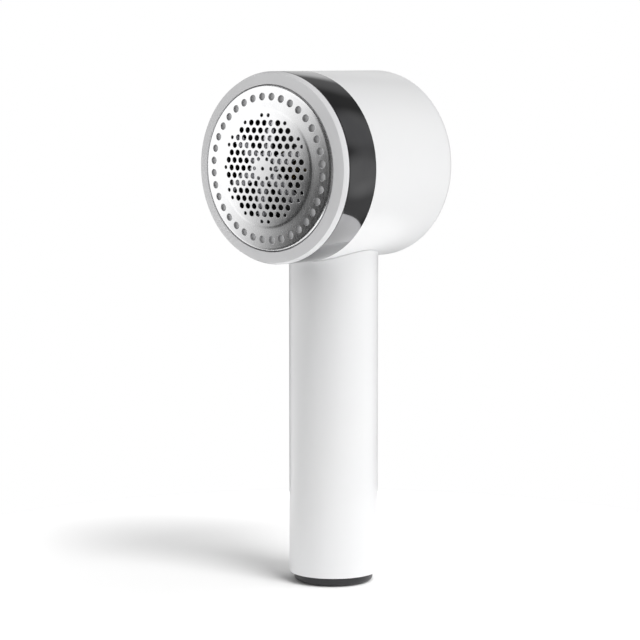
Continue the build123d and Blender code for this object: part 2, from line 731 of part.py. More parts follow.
SUB_PARTS = [
    foil_guard, foil_carrier, bezel_ring,
    trim_band, cutter_housing, shaft_seal, housing_screws,
    blade_disc, blade_hub, drive_coupling, blade_spring,
    motor_shaft, motor_bushings, motor_can, motor_magnets, armature_core, armature_windings,
    commutator, motor_brushes, motor_end_cap, motor_screws, motor_cover,
    head_shell, lint_bin, bin_seal, bin_lid,
    handle_tube, button_trim, power_button, indicator_lens, handle_frame,
    battery_cell, battery_tabs, control_board, board_chips, board_screws, tact_switch, status_led,
    base_cap, foot_pad, base_screws, charge_socket, charge_board,
    motor_leads, battery_leads, charge_leads,
]

os.makedirs("parts", exist_ok=True)
for make in SUB_PARTS:
    made = make()
    if isinstance(made, list):
        made = Compound(children=[solid for part in made for solid in part.solids()])
    made.label = make.__name__
    export_step(made, f"parts/{make.__name__}.step")
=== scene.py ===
"""Looks of a cordless fabric shaver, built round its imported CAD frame. Lengths are in metres."""
import json
import math

import bmesh
import bpy
from mathutils import Matrix, Vector
from mathutils.geometry import delaunay_2d_cdt


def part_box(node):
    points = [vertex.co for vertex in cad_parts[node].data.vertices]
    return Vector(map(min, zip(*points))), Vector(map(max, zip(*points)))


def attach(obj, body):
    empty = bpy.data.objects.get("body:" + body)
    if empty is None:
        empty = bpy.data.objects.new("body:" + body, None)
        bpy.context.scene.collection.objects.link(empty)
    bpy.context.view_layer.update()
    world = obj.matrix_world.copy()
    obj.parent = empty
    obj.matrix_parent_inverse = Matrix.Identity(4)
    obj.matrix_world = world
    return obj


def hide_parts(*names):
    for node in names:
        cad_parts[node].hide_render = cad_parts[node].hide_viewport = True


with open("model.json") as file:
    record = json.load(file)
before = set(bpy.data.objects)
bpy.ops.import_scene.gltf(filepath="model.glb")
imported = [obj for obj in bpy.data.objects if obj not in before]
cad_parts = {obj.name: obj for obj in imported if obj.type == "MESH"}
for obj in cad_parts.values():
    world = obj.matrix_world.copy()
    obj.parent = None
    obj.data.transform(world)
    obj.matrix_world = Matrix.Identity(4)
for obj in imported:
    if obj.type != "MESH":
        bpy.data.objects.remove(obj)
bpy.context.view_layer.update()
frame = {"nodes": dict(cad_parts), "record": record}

MM = 0.001
TAU = 2 * math.pi

# ------------------------------------------------------------------ sizes, read from the frame

BAND_LOW, BAND_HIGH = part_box("trim_band")
HEAD_Z = (BAND_LOW.z + BAND_HIGH.z) / 2
HEAD_R = (BAND_HIGH.x - BAND_LOW.x) / 2
HANDLE_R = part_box("handle_tube")[1].x
FOIL_LOW, FOIL_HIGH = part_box("foil_guard")
FOIL_APEX = FOIL_LOW.y
FOIL_R = FOIL_HIGH.x


# ------------------------------------------------------------------ mesh building


def new_piece(name, bm, body, slot, *nodes):
    """Links the mesh as a piece that rides on a body and stands for its CAD nodes."""
    bmesh.ops.recalc_face_normals(bm, faces=bm.faces)
    mesh = bpy.data.meshes.new(name)
    bm.to_mesh(mesh)
    bm.free()
    piece = bpy.data.objects.new(name, mesh)
    bpy.context.scene.collection.objects.link(piece)
    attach(piece, body)
    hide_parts(*nodes)
    piece.data.materials.append(MATERIALS[slot])
    shade(piece)
    return piece


def shade(piece, degrees=40):
    """Smooth shading with sharp edges above an angle."""
    mesh = piece.data
    mesh.shade_smooth()
    mesh.set_sharp_from_angle(angle=math.radians(degrees))


def fillet_corner(before, corner, after, radius, steps):
    """Points of the arc that rounds one corner of an outline."""
    a = (Vector(before) - Vector(corner)).normalized()
    b = (Vector(after) - Vector(corner)).normalized()
    half = a.angle(b) / 2
    reach = radius / math.tan(half)
    centre = Vector(corner) + (a + b).normalized() * (radius / math.sin(half))
    start, end = Vector(corner) + a * reach - centre, Vector(corner) + b * reach - centre
    turn = start.angle_signed(end)
    points = []
    for step in range(steps + 1):
        angle = -turn * step / steps
        c, s = math.cos(angle), math.sin(angle)
        points.append(centre + Vector((c * start.x - s * start.y, s * start.x + c * start.y)))
    return points


def rounded_outline(corners, steps=5):
    """Closed outline of 2-D points in millimetres from (u, v, radius) corners."""
    points = []
    count = len(corners)
    for index, (u, v, radius) in enumerate(corners):
        if radius:
            before, after = corners[index - 1][:2], corners[(index + 1) % count][:2]
            points += fillet_corner(before, (u, v), after, radius, steps)
        else:
            points.append(Vector((u, v)))
    return points


def lathe(bm, outline, place, segments=224):
    """Turns a closed outline into a ring. `place(r, along, angle)` gives each vertex."""
    rows = []
    for r, along in outline:
        if r < 1e-6:
            rows.append([bm.verts.new(place(0, along, 0))])
        else:
            rows.append([bm.verts.new(place(r, along, TAU * i / segments)) for i in range(segments)])
    for row, following in zip(rows, rows[1:] + rows[:1]):
        skin(bm, row, following)


def skin(bm, row, following):
    """Faces between two rings, either of which may be a single point."""
    if len(row) == 1 and len(following) == 1:
        return
    count = max(len(row), len(following))
    for i in range(count):
        j = (i + 1) % count
        near = [row[i % len(row)], row[j % len(row)]]
        far = [following[j % len(following)], following[i % len(following)]]
        bm.faces.new(list(dict.fromkeys(near + far)))


def on_head(r, along, angle):
    """Place at a radius (mm), a station along Y (mm) and an angle round the head's axis."""
    return Vector((r * MM * math.sin(angle), along * MM, HEAD_Z + r * MM * math.cos(angle)))


def on_handle(r, along, angle):
    """Place at a radius (mm), a height (mm) and an angle round the handle's axis."""
    return Vector((r * MM * math.sin(angle), -r * MM * math.cos(angle), along * MM))


def cut(piece, *tools):
    """Subtracts closed tool meshes from a piece."""
    combine(piece, "DIFFERENCE", *tools)


def combine(piece, operation, *tools):
    """Applies closed tool meshes to a piece, one after another, and deletes them."""
    for tool in tools:
        modifier = piece.modifiers.new("combine", "BOOLEAN")
        modifier.operation, modifier.solver, modifier.object = operation, "EXACT", tool
    graph = bpy.context.evaluated_depsgraph_get()
    mesh = bpy.data.meshes.new_from_object(piece.evaluated_get(graph))
    piece.modifiers.clear()
    piece.data = mesh
    for tool in tools:
        bpy.data.objects.remove(tool)
    shade(piece)


def tool_rod(radius, start, end, segments=64):
    """Closed bar between two points (metres), as a tool for cut()."""
    start, end = Vector(start), Vector(end)
    bm = bmesh.new()
    bmesh.ops.create_cone(bm, cap_ends=True, segments=segments, radius1=radius, radius2=radius,
                          depth=(end - start).length)
    turn = (end - start).to_track_quat("Z", "Y").to_matrix().to_4x4()
    bm.transform(Matrix.Translation((start + end) / 2) @ turn)
    return tool_object(bm)


def tool_object(bm):
    """Closed mesh as a tool for combine()."""
    mesh = bpy.data.meshes.new("tool")
    bm.to_mesh(mesh)
    bm.free()
    tool = bpy.data.objects.new("tool", mesh)
    bpy.context.scene.collection.objects.link(tool)
    return tool


# ------------------------------------------------------------------ materials


class Finish:
    """A node-based material: helpers add the nodes that vary its colour, gloss and relief."""

    def __init__(self, name, colour, roughness=0.4, metallic=0.0, **inputs):
        self.material = bpy.data.materials.new(name)
        self.material.use_nodes = True
        self.tree = self.material.node_tree
        self.shader = self.tree.nodes["Principled BSDF"]
        self.colour = (*colour, 1.0)
        self.set("Base Color", self.colour)
        self.set("Roughness", roughness)
        self.set("Metallic", metallic)
        for key, value in inputs.items():
            self.set(key.replace("_", " "), value)
        coordinates = self.node("ShaderNodeTexCoord")
        scale = self.node("ShaderNodeVectorMath", operation="SCALE")
        scale.inputs["Scale"].default_value = 1000.0
        self.link(coordinates.outputs["Object"], scale.inputs[0])
        self.mm = scale.outputs[0]

    def node(self, kind, **settings):
        made = self.tree.nodes.new(kind)
        for key, value in settings.items():
            setattr(made, key, value)
        return made

    def link(self, a, b):
        self.tree.links.new(a, b)

    def set(self, socket, value):
        self.shader.inputs[socket].default_value = value

    def stretched(self, stretch):
        """Coordinates in millimetres, scaled along each axis."""
        mapping = self.node("ShaderNodeMapping")
        mapping.inputs["Scale"].default_value = stretch
        self.link(self.mm, mapping.inputs["Vector"])
        return mapping.outputs["Vector"]

    def noise(self, scale, detail=2.0, stretch=(1, 1, 1), rough=0.5):
        made = self.node("ShaderNodeTexNoise")
        made.inputs["Scale"].default_value = scale
        made.inputs["Detail"].default_value = detail
        made.inputs["Roughness"].default_value = rough
        self.link(self.stretched(stretch), made.inputs["Vector"])
        return made.outputs["Fac"]

    def ramp(self, value, low, high, to_low=0.0, to_high=1.0):
        made = self.node("ShaderNodeMapRange", interpolation_type="SMOOTHSTEP")
        for name, number in (("From Min", low), ("From Max", high), ("To Min", to_low), ("To Max", to_high)):
            made.inputs[name].default_value = number
        self.link(value, made.inputs["Value"])
        return made.outputs["Result"]

    def tint(self, value, other, low=0.35, high=0.65, amount=1.0):
        """Mixes another colour over the present one where a value is high."""
        mix = self.node("ShaderNodeMix", data_type="RGBA")
        present = self.shader.inputs["Base Color"]
        if present.is_linked:
            self.link(present.links[0].from_socket, mix.inputs["A"])
        else:
            mix.inputs["A"].default_value = self.colour
        mix.inputs["B"].default_value = (*other, 1.0)
        self.link(self.ramp(value, low, high, 0.0, amount), mix.inputs["Factor"])
        self.link(mix.outputs["Result"], present)
        return self

    def gloss(self, value, low, high, rough_low, rough_high):
        self.link(self.ramp(value, low, high, rough_low, rough_high), self.shader.inputs["Roughness"])
        return self

    def relief(self, value, depth_mm, strength=1.0):
        """Raises the surface by a value; reliefs stack."""
        bump = self.node("ShaderNodeBump")
        bump.inputs["Distance"].default_value = depth_mm * MM
        bump.inputs["Strength"].default_value = strength
        self.link(value, bump.inputs["Height"])
        normal = self.shader.inputs["Normal"]
        if normal.is_linked:
            self.link(normal.links[0].from_socket, bump.inputs["Normal"])
        self.link(bump.outputs["Normal"], normal)
        return self


def moulded(name, colour, roughness, grain=3.0, depth=0.01, **inputs):
    """Moulded plastic: faint flow marks in colour, uneven gloss and a fine eroded grain."""
    finish = Finish(name, colour, roughness, **inputs)
    darker = tuple(c * 0.96 for c in colour)
    finish.tint(finish.noise(0.05, 1.0), darker, 0.3, 0.75)
    finish.gloss(finish.noise(0.2, 2.0), 0.2, 0.8, roughness * 0.92, roughness * 1.08)
    finish.relief(finish.noise(grain, 2.0), depth)
    return finish.material


def turned_metal(name, colour, roughness, stretch=(1, 1, 1), depth=0.004, stain=None, **inputs):
    """Bare or plated metal: fine tool marks along one direction and patches of duller gloss."""
    finish = Finish(name, colour, roughness, metallic=1.0, **inputs)
    finish.tint(finish.noise(0.3, 3.0), stain or tuple(c * 0.82 for c in colour), 0.45, 0.8)
    finish.gloss(finish.noise(4.0, 3.0, stretch), 0.3, 0.7, roughness * 0.8, roughness * 1.25)
    finish.relief(finish.noise(6.0, 2.0, stretch), depth)
    return finish.material


def white_shell():
    """Satin white plastic under a thin polish, very slightly uneven."""
    finish = Finish("white_shell", (0.87, 0.872, 0.875), 0.3, Specular_IOR_Level=0.5, Coat_Weight=0.12,
                    Coat_Roughness=0.12)
    finish.tint(finish.noise(0.03, 1.0), (0.86, 0.863, 0.87), 0.3, 0.7)
    finish.gloss(finish.noise(0.15, 2.0), 0.2, 0.8, 0.28, 0.33)
    finish.relief(finish.noise(2.2, 1.0), 0.0015)
    finish.relief(finish.noise(0.07, 0.0), 0.012)
    return finish.material


def foil_steel():
    """Etched foil, brushed up and down, with a grain that breaks the reflection up."""
    finish = Finish("foil_steel", (0.80, 0.80, 0.805), 0.25, metallic=1.0)
    brush = finish.noise(1.0, 2.0, (5.0, 5.0, 0.3))
    finish.tint(finish.noise(0.3, 2.0), (0.765, 0.765, 0.775), 0.35, 0.8)
    finish.gloss(brush, 0.3, 0.7, 0.22, 0.29)
    finish.relief(brush, 0.0012)
    finish.relief(finish.noise(5.0, 1.0), 0.0007)
    return finish.material


def gunmetal():
    """Dark mirror plating with a trace of polishing round the band."""
    finish = Finish("gunmetal", (0.27, 0.27, 0.275), 0.06, metallic=1.0)
    rings = finish.noise(1.0, 3.0, (0.15, 7.0, 0.15))
    finish.tint(finish.noise(0.08, 3.0), (0.24, 0.24, 0.25), 0.4, 0.7)
    finish.gloss(rings, 0.3, 0.7, 0.04, 0.08)
    finish.relief(rings, 0.0005)
    return finish.material


def wound_copper():
    """Enamelled wire laid in turns, with painted shade in the grooves between them."""
    finish = Finish("copper", (0.72, 0.31, 0.14), 0.28, metallic=1.0, Coat_Weight=0.5)
    wave = finish.node("ShaderNodeTexWave", wave_type="BANDS", bands_direction="Z")
    wave.inputs["Scale"].default_value = 1.1
    wave.inputs["Distortion"].default_value = 0.8
    wave.inputs["Detail"].default_value = 1.0
    finish.link(finish.mm, wave.inputs["Vector"])
    # Darker colour in the troughs of the bands, the grooves between turns: painted shade.
    finish.tint(wave.outputs["Fac"], (0.42, 0.13, 0.05), 0.35, 0.1)
    finish.gloss(finish.noise(2.0), 0.3, 0.7, 0.22, 0.38)
    finish.relief(wave.outputs["Fac"], 0.12)
    return finish.material


def circuit_board():
    """Green solder mask over raised tracks."""
    finish = Finish("board_green", (0.018, 0.13, 0.055), 0.35, Specular_IOR_Level=0.5)
    brick = finish.node("ShaderNodeTexBrick")
    for key, number in (("Scale", 0.35), ("Mortar Size", 0.06), ("Brick Width", 1.4), ("Row Height", 0.6)):
        brick.inputs[key].default_value = number
    finish.link(finish.stretched((1, 1, 1)), brick.inputs["Vector"])
    finish.tint(brick.outputs["Fac"], (0.03, 0.24, 0.09), 0.3, 0.7)
    finish.tint(finish.noise(1.5, 3.0), (0.012, 0.09, 0.04), 0.5, 0.8, 0.6)
    finish.gloss(finish.noise(3.0), 0.3, 0.7, 0.28, 0.42)
    finish.relief(brick.outputs["Fac"], 0.02)
    return finish.material


def cell_wrap():
    """Heat-shrunk sleeve: plain colour with darker patches and soft puckers."""
    finish = Finish("cell_wrap", (0.05, 0.20, 0.42), 0.3, Coat_Weight=0.3)
    finish.tint(finish.noise(0.5, 3.0), (0.035, 0.15, 0.34), 0.4, 0.7)
    finish.gloss(finish.noise(0.8, 3.0), 0.3, 0.7, 0.22, 0.4)
    finish.relief(finish.noise(0.5, 2.0, (1, 1, 3)), 0.06)
    return finish.material


def smoke_clear():
    """Smoke-tinted clear plastic of the lint bin."""
    finish = Finish("smoke_clear", (0.42, 0.43, 0.45), 0.16, Transmission_Weight=0.75, IOR=1.5)
    finish.tint(finish.noise(0.1, 2.0), (0.36, 0.37, 0.39), 0.4, 0.7)
    finish.gloss(finish.noise(0.6, 3.0), 0.3, 0.7, 0.12, 0.24)
    finish.relief(finish.noise(1.2), 0.006)
    return finish.material


def lens():
    """Milky light guide."""
    finish = Finish("lens", (0.86, 0.93, 0.92), 0.22, Transmission_Weight=0.55, IOR=1.46)
    finish.tint(finish.noise(1.2), (0.78, 0.88, 0.87), 0.4, 0.7)
    finish.gloss(finish.noise(2.0), 0.3, 0.7, 0.18, 0.3)
    finish.relief(finish.noise(4.0), 0.004)
    return finish.material


MATERIALS = {
    "white_shell": white_shell(),
    "grey_ring": moulded("grey_ring", (0.80, 0.80, 0.81), 0.24, 2.0, 0.004, Coat_Weight=0.15,
                         Coat_Roughness=0.1),
    "gunmetal": gunmetal(),
    "foil_steel": foil_steel(),
    "carrier_grey": moulded("carrier_grey", (0.85, 0.85, 0.86), 0.42, 3.0, 0.012),
    "housing_grey": moulded("housing_grey", (0.10, 0.10, 0.105), 0.5, 3.5, 0.02),
    "blade_steel": turned_metal("blade_steel", (0.62, 0.62, 0.64), 0.22, (6, 6, 0.5)),
    "hub_plastic": moulded("hub_plastic", (0.03, 0.03, 0.032), 0.45, 3.0, 0.012),
    "spring_steel": turned_metal("spring_steel", (0.60, 0.60, 0.62), 0.25),
    "bright_steel": turned_metal("bright_steel", (0.74, 0.74, 0.76), 0.2),
    "brass": turned_metal("brass", (0.76, 0.56, 0.24), 0.24),
    "motor_steel": turned_metal("motor_steel", (0.62, 0.62, 0.64), 0.32, (0.5, 6, 0.5)),
    "magnet": moulded("magnet", (0.05, 0.05, 0.055), 0.55, 4.0, 0.03),
    "lamination": turned_metal("lamination", (0.36, 0.37, 0.40), 0.38, (0.2, 9, 0.2), 0.03),
    "copper": wound_copper(),
    "motor_plastic": moulded("motor_plastic", (0.80, 0.79, 0.74), 0.4, 2.5, 0.01),
    "cover_grey": moulded("cover_grey", (0.16, 0.16, 0.17), 0.42, 3.0, 0.015),
    "smoke_clear": smoke_clear(),
    "rubber_black": moulded("rubber_black", (0.02, 0.02, 0.021), 0.62, 2.5, 0.03),
    "felt": moulded("felt", (0.50, 0.47, 0.41), 0.95, 1.6, 0.25, Sheen_Weight=0.5),
    "trim_metal": turned_metal("trim_metal", (0.76, 0.76, 0.77), 0.2, (0.4, 6, 6)),
    "button_grey": moulded("button_grey", (0.78, 0.78, 0.79), 0.36, 2.5, 0.01),
    "lens": lens(),
    "chassis": moulded("chassis", (0.09, 0.09, 0.095), 0.5, 2.5, 0.02),
    "cell_wrap": cell_wrap(),
    "nickel": turned_metal("nickel", (0.66, 0.64, 0.60), 0.3),
    "board_green": circuit_board(),
    "chip_black": moulded("chip_black", (0.025, 0.025, 0.027), 0.5, 4.0, 0.012),
    "switch_black": moulded("switch_black", (0.03, 0.03, 0.03), 0.42, 3.0, 0.01),
    "base_black": moulded("base_black", (0.022, 0.022, 0.024), 0.34, 3.0, 0.008),
    "wire_red": moulded("wire_red", (0.48, 0.02, 0.015), 0.4, 1.5, 0.01),
}

for row in frame["record"]["subparts"]:
    node = frame["nodes"][row["node"]]
    node.data.materials.clear()
    node.data.materials.append(MATERIALS[row["material_slot"]])

# ------------------------------------------------------------------ foil

FOIL_T = 0.4
FOIL_SKIRT = 1.3  # radius of the rounded shoulder
DOME_R = 125.0
DOME_EDGE, STEP_EDGE = 18.7, 19.75  # radii between which the dome eases down to the rim
RIM_FRONT = -34.5  # station of the rim's inner edge
PITCH = 2.85
PATTERN_REACH, BIG_REACH = 6.15, 5.7  # in pitches: the outermost hole and the outermost big hole
INNER_REACH, INNER_SPREAD = 1.5, 1.25  # the holes round the centre, and how far they are moved outwards
BIG_HOLE, SMALL_HOLE, RIM_HOLE = 0.97, 0.62, 1.22
RIM_HOLES, RIM_HOLE_R = 36, 23.35
LIP = 0.09  # rounding of every hole's edge
FOIL_SEGMENTS = 240


def pattern_holes():
    """Centres and radii of the hexagonal pattern: big holes, ringed and centred by small ones."""
    holes = []
    for row in range(-7, 8):
        offset = 0.5 if row % 2 else 0.0
        for column in range(-7, 8):
            x, z = column + offset, row * math.sqrt(3) / 2
            distance = math.hypot(x, z)
            if distance > PATTERN_REACH:
                continue
            if 0.5 < distance < INNER_REACH:
                x, z = INNER_SPREAD * x, INNER_SPREAD * z
            radius = BIG_HOLE if INNER_REACH < distance < BIG_REACH else SMALL_HOLE
            holes.append((x * PITCH, z * PITCH, radius))
    return holes


def rim_holes():
    """Centres and radii of the ring of larger holes in the rim."""
    angles = [TAU * (index + 0.5) / RIM_HOLES for index in range(RIM_HOLES)]
    return [(RIM_HOLE_R * math.sin(a), RIM_HOLE_R * math.cos(a), RIM_HOLE) for a in angles]


def foil_station(r):
    """Station (mm) of the foil's outer face at a radius."""
    dome = FOIL_APEX / MM + DOME_R - math.sqrt(DOME_R**2 - min(r, STEP_EDGE) ** 2)
    share = min(1.0, max(0.0, (r - DOME_EDGE) / (STEP_EDGE - DOME_EDGE)))
    share = share * share * (3 - 2 * share)
    along = max(0.0, r - DOME_EDGE)
    rim = RIM_FRONT + 0.09 * along + 0.006 * along**2  # slightly crowned
    return dome + (rim - dome) * share


def circle_points(x, z, r, count):
    """Points round a circle, in millimetres."""
    angles = [TAU * i / count for i in range(count)]
    return [Vector((x + r * math.sin(a), z + r * math.cos(a))) for a in angles]


def foil_guard():
    """Perforated foil: flat triangulation lifted on to the dome, doubled, with rounded hole walls."""
    plan, edges, owner = [], [], []

    def add_loop(points, tag):
        first = len(plan)
        plan.extend(points)
        owner.extend([tag] * len(points))
        edges.extend((first + i, first + (i + 1) % len(points)) for i in range(len(points)))
        return list(range(first, len(plan)))

    holes = pattern_holes() + rim_holes()
    loops = []
    for index, (x, z, r) in enumerate(holes):
        loops.append(add_loop(circle_points(x, z, r + LIP, 28 if r < 0.9 else 36), index))
    step_rings = 6
    radii = [DOME_EDGE + (STEP_EDGE - DOME_EDGE) * i / (step_rings - 1) for i in range(step_rings)]
    for r in (*radii, 21.0, 22.0, 24.7, 25.3):  # circles that keep the step and the rim smooth
        add_loop(circle_points(0, 0, r, FOIL_SEGMENTS), -1)
    edge_r = FOIL_R / MM - FOIL_SKIRT
    rim_y = foil_station(edge_r)
    outer = add_loop(circle_points(0, 0, edge_r, FOIL_SEGMENTS), -1)
    flat, _, triangles, origins, _, _ = delaunay_2d_cdt(plan, edges, [], 0, 1e-5)
    found = {source: index for index, sources in enumerate(origins) for source in sources}
    tag = {index: owner[sources[0]] for index, sources in enumerate(origins) if sources}

    bm = bmesh.new()

    def vert(x, z, depth):
        return bm.verts.new((x * MM, (foil_station(math.hypot(x, z)) + depth) * MM, HEAD_Z + z * MM))

    front = [vert(*p, 0) for p in flat]
    back = [vert(*p, FOIL_T) for p in flat]
    for triangle in triangles:
        tags = {tag.get(i, -1) for i in triangle}
        if len(tags) == 1 and tags != {-1}:
            continue
        bm.faces.new([front[i] for i in triangle])
        bm.faces.new([back[i] for i in reversed(triangle)])
    wall = [(0.3 * LIP, 0.3 * LIP), (0.0, LIP), (0.0, FOIL_T - LIP), (0.3 * LIP, FOIL_T - 0.3 * LIP)]
    for (x, z, r), loop in zip(holes, loops):
        rows = [[front[found[i]] for i in loop]]
        for grow, depth in wall:
            rows.append([vert(*p, depth) for p in circle_points(x, z, r + grow, len(loop))])
        rows.append([back[found[i]] for i in loop])
        for row, following in zip(rows, rows[1:]):
            skin(bm, row, following)

    skirt_end = FOIL_HIGH.y / MM
    outline = []
    steps = 6
    for step in range(1, steps + 1):
        a = math.pi / 2 * step / steps
        outline.append((edge_r + FOIL_SKIRT * math.sin(a), rim_y + FOIL_SKIRT * (1 - math.cos(a))))
    outline += [(FOIL_R / MM, skirt_end - 0.1), (FOIL_R / MM - 0.1, skirt_end)]
    inner_r, inner_bend = FOIL_R / MM - FOIL_T, FOIL_SKIRT - FOIL_T
    outline += [(inner_r + 0.1, skirt_end), (inner_r, skirt_end - 0.1)]
    for step in range(steps):
        a = math.pi / 2 * (1 - step / steps)
        outline.append((edge_r + inner_bend * math.sin(a), rim_y + FOIL_T + inner_bend * (1 - math.cos(a))))
    rows = [[front[found[i]] for i in outer]]
    for r, along in outline:
        rows.append([bm.verts.new(on_head(r, along, TAU * i / FOIL_SEGMENTS)) for i in range(FOIL_SEGMENTS)])
    rows.append([back[found[i]] for i in outer])
    for row, following in zip(rows, rows[1:]):
        skin(bm, row, following)
    shade(new_piece("foil", bm, "guard", "foil_steel", "foil_guard"), 18)


# ------------------------------------------------------------------ turned parts of the head


def turned_piece(name, corners, body, slot, node, place=None, segments=256):
    """Piece turned from an outline of (radius, along, rounding) corners in millimetres."""
    bm = bmesh.new()
    lathe(bm, rounded_outline(corners), place or on_head, segments)
    return new_piece(name, bm, body, slot, node)


def foil_carrier():
    """Pale ring under the foil's rim, seen through the ring of holes."""
    low, high = (v.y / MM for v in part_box("foil_carrier"))
    low += 0.3  # clear of the crowned rim
    outer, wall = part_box("foil_carrier")[1].x / MM, FOIL_R / MM - FOIL_T
    inner, flange, thick = 20.9, 1.4, 1.5
    turned_piece("carrier", [
        (inner, low, 0.25), (wall - 1.2, low, 0.4), (wall, low + 1.2, 0.3), (wall, high - flange, 0),
        (outer, high - flange, 0.15), (outer, high, 0.15), (wall - flange, high, 0.15),
        (wall - flange, low + thick + 0.3, 0), (inner, low + thick, 0.25),
    ], "guard", "carrier_grey", "foil_carrier")


def bezel_ring():
    """Locking ring: gently coned face, steep polished bevel, plain skirt."""
    low, high = (v.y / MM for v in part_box("bezel_ring"))
    inner, face, skirt = 27.24, 30.87, 28.5
    back = BAND_LOW.y / MM - 0.3
    turned_piece("locking_ring", [
        (inner, low, 0.18), (face, low + 1.03, 0.1), (HEAD_R / MM, back - 0.5, 0.18),
        (HEAD_R / MM, back, 0.12), (skirt, back, 0.2), (skirt, high, 0.15), (inner, high, 0.15),
    ], "locking_ring", "grey_ring", "bezel_ring")


def trim_band():
    """Dark band, with a fine chamfer towards the locking ring."""
    low, high = BAND_LOW.y / MM, BAND_HIGH.y / MM
    turned_piece("band", [
        (30.3, low, 0.1), (HEAD_R / MM, low, 0.2), (HEAD_R / MM, high, 0.06), (30.3, high, 0.05),
    ], "body", "gunmetal", "trim_band")


def head_shell():
    """White barrel with the bin's opening behind, four guide ribs, three bosses and the handle's hole."""
    low, high = BAND_HIGH.y / MM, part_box("head_shell")[1].y / MM
    wall, rear_wall, opening, edge = 2.0, 2.6, 25.7, 3.7
    inner = HEAD_R / MM - wall
    piece = turned_piece("barrel", [
        (inner, low, 0.1), (HEAD_R / MM, low, 0.08), (HEAD_R / MM, high, edge), (opening, high, 0.25),
        (opening, high - rear_wall, 0.1), (inner, high - rear_wall, 0.4),
    ], "body", "white_shell", "head_shell")
    rib_size = Vector((1.6, high - rear_wall + 8.3, inner + 0.5 - opening)) * MM
    rib_centre = Vector((0, (high - rear_wall - 7.7) / 2, (inner + 0.5 + opening) / 2)) * MM
    ribs = []
    for degrees in (45, 135, 225, 315):
        bm = bmesh.new()
        bmesh.ops.create_cube(bm, size=1.0)
        bm.transform(Matrix.Diagonal((*rib_size, 1)))
        bm.transform(Matrix.Translation(rib_centre))
        bm.transform(Matrix.Translation((0, 0, HEAD_Z)) @ Matrix.Rotation(math.radians(degrees), 4, "Y"))
        ribs.append(tool_object(bm))
    screw_r, boss_r, hole_r = 27.9, 1.85 * MM, 0.9 * MM
    angles = [math.radians(degrees) for degrees in (0, 120, 240)]
    bosses = [tool_rod(boss_r, on_head(screw_r, -20, a), on_head(screw_r, -8, a), 40) for a in angles]
    combine(piece, "UNION", *ribs, *bosses)
    screws = [tool_rod(hole_r, on_head(screw_r, -21, a), on_head(screw_r, -12, a), 32) for a in angles]
    spigot = tool_rod(14.2 * MM, (0, 0, HEAD_Z - 40 * MM), (0, 0, HEAD_Z - 15 * MM), 160)
    cut(piece, spigot, *screws)


def bin_lid():
    """Flush white lid with a round dish and a bar across it to pull by."""
    low, high = (v.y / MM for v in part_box("bin_lid"))
    outer, dish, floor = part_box("bin_lid")[1].x / MM, 13.2, 18.6
    wall = floor - low
    piece = turned_piece("bin_lid_cover", [
        (0, low, 0), (dish + wall, low, 0.6), (dish + wall, high - 2.5, 0.5), (outer, high - 2.5, 0.1),
        (outer, high, 0.45), (dish, high, 0.7), (dish, floor, 1.4), (0, floor, 0),
    ], "bin", "white_shell", "bin_lid")
    bar_half, bar_top, bar_root, flare = 3.0, high - 0.5, floor + 1.4, 0.9
    bm = bmesh.new()
    profile = rounded_outline([
        (-bar_half - flare, floor - 0.3, 0), (-bar_half, bar_root, 1.6), (-bar_half, bar_top, 1.3),
        (bar_half, bar_top, 1.3), (bar_half, bar_root, 1.6), (bar_half + flare, floor - 0.3, 0),
    ], 6)
    reach = (dish + 0.6) * MM
    rows = [[bm.verts.new((x * MM, y * MM, HEAD_Z + end * reach)) for x, y in profile] for end in (-1, 1)]
    skin(bm, *rows)
    for row in rows:
        bm.faces.new(row)
    bmesh.ops.recalc_face_normals(bm, faces=bm.faces)
    combine(piece, "UNION", tool_object(bm))


# ------------------------------------------------------------------ handle

BUTTON_LOW, BUTTON_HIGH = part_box("power_button")
BUTTON_Z = (BUTTON_LOW.z + BUTTON_HIGH.z) / 2
LENS_LOW, LENS_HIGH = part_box("indicator_lens")
LENS_Z = (LENS_LOW.z + LENS_HIGH.z) / 2
TRIM_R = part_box("button_trim")[1].x


def saddle(reach):
    """Height rule of a cut by a cylinder about the head's axis."""
    return lambda x: HEAD_Z / MM - math.sqrt(reach**2 - x**2)


def handle_tube():
    """White tube: rounded foot, saddle with a fine rounded seam under the barrel, spigot and bore."""
    outer, bore, spigot, foot = HANDLE_R / MM, 13.2, 14.2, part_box("handle_tube")[0].z / MM
    seam, inside = saddle(HEAD_R / MM), saddle(28.4)
    edge = 0.4
    foot_outline = fillet_corner((bore, foot), (outer, foot), (outer, foot + 5), edge, 5)
    rows = [(bore, lambda x: foot + 0.2), (bore + 0.2, lambda x: foot)]
    rows += [(r, lambda x, z=z: z) for r, z in foot_outline]
    body_rows = 12
    for step in range(1, body_rows + 1):
        share = step / (body_rows + 1)
        rows.append((outer, lambda x, share=share: foot + edge + (seam(x) - foot - 2 * edge) * share))
    for step in range(6):
        a = math.pi / 2 * step / 5
        rows.append((outer - edge * (1 - math.cos(a)),
                     lambda x, a=a: seam(x) - edge * (1 - math.sin(a)) - 0.02))
    rows += [(spigot, lambda x: seam(x) - 0.02), (spigot, inside), (bore, inside)]
    segments = 224
    bm = bmesh.new()
    rings = []
    for r, height in rows:
        ring = []
        for i in range(segments):
            angle = TAU * i / segments
            ring.append(bm.verts.new(on_handle(r, height(r * math.sin(angle)), angle)))
        rings.append(ring)
    for ring, following in zip(rings, rings[1:] + rings[:1]):
        skin(bm, ring, following)
    piece = new_piece("handle", bm, "body", "white_shell", "handle_tube")
    holes = [tool_rod(r, (0, 5 * MM, z), (0, 20 * MM, z), 96)
             for r, z in ((TRIM_R, BUTTON_Z), (LENS_HIGH.x, LENS_Z))]
    cut(piece, *holes)


